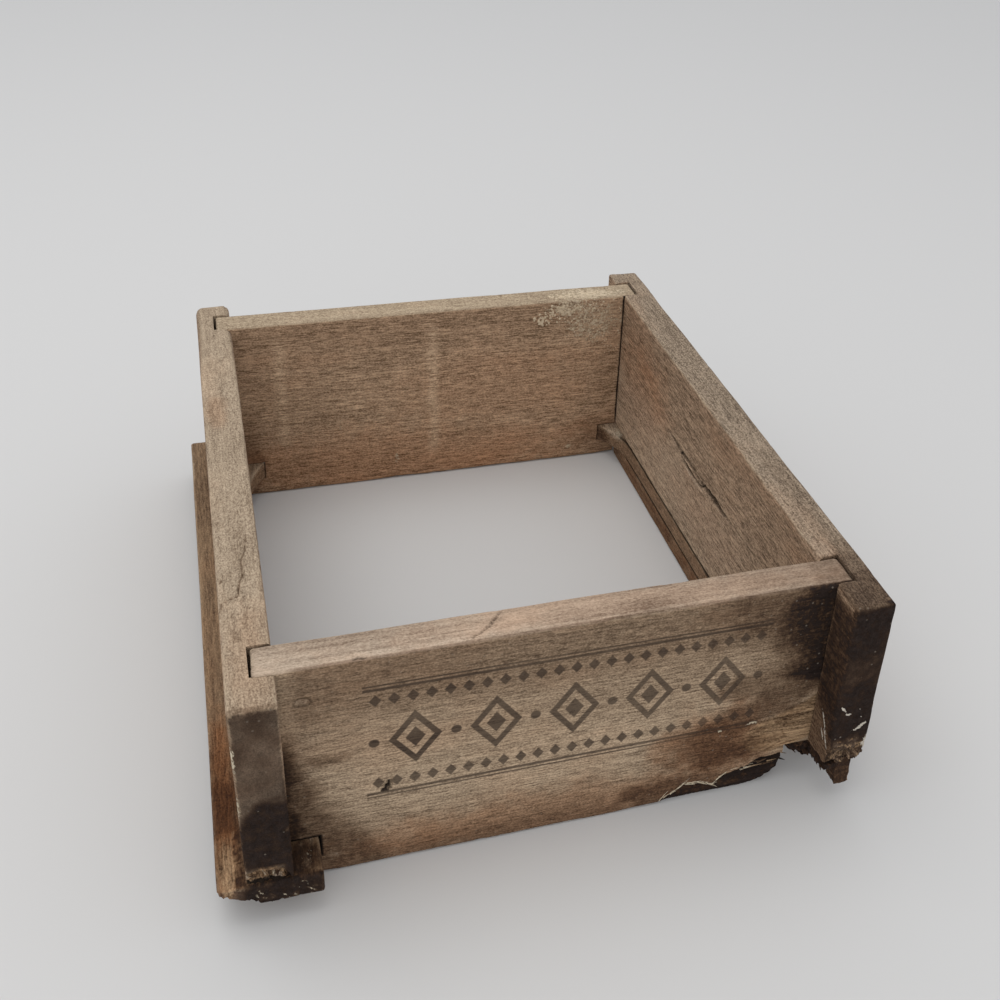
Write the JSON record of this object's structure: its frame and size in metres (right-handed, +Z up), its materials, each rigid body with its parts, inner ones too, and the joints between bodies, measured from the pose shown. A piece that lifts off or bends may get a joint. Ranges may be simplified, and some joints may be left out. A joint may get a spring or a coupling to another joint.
{
  "type": "sliding box of a cabbage cutter",
  "caption": "Open wooden frame that holds a cabbage and slides over a cutter's knives: housed boards on edge, scooped runners with outer tongues, worn and nailed.",
  "frame": {"origin": "on the ground, under the middle of the box", "axes": "+X to the right seen from the front, +Y to the back along the slide, +Z up"},
  "size_m": [0.255, 0.293, 0.099],
  "materials": {
    "side_wood": "bare, weathered grey-brown",
    "board_wood": "bare, weathered brown",
    "runner_wood": "bare, worn red-brown",
    "nail_steel": "dark, rusted"
  },
  "bodies": {
    "root": {"left_side": "side_wood", "right_side": "side_wood", "front_board": "board_wood", "back_board": "board_wood", "left_runner": "runner_wood", "right_runner": "runner_wood", "left_slide_strip": "runner_wood", "right_slide_strip": "runner_wood", "front_left_nails": "nail_steel", "front_right_nails": "nail_steel", "back_left_nails": "nail_steel", "back_right_nails": "nail_steel", "left_runner_nails": "nail_steel", "right_runner_nails": "nail_steel", "left_strip_nails": "nail_steel", "right_strip_nails": "nail_steel"}
  },
  "joints": []
}
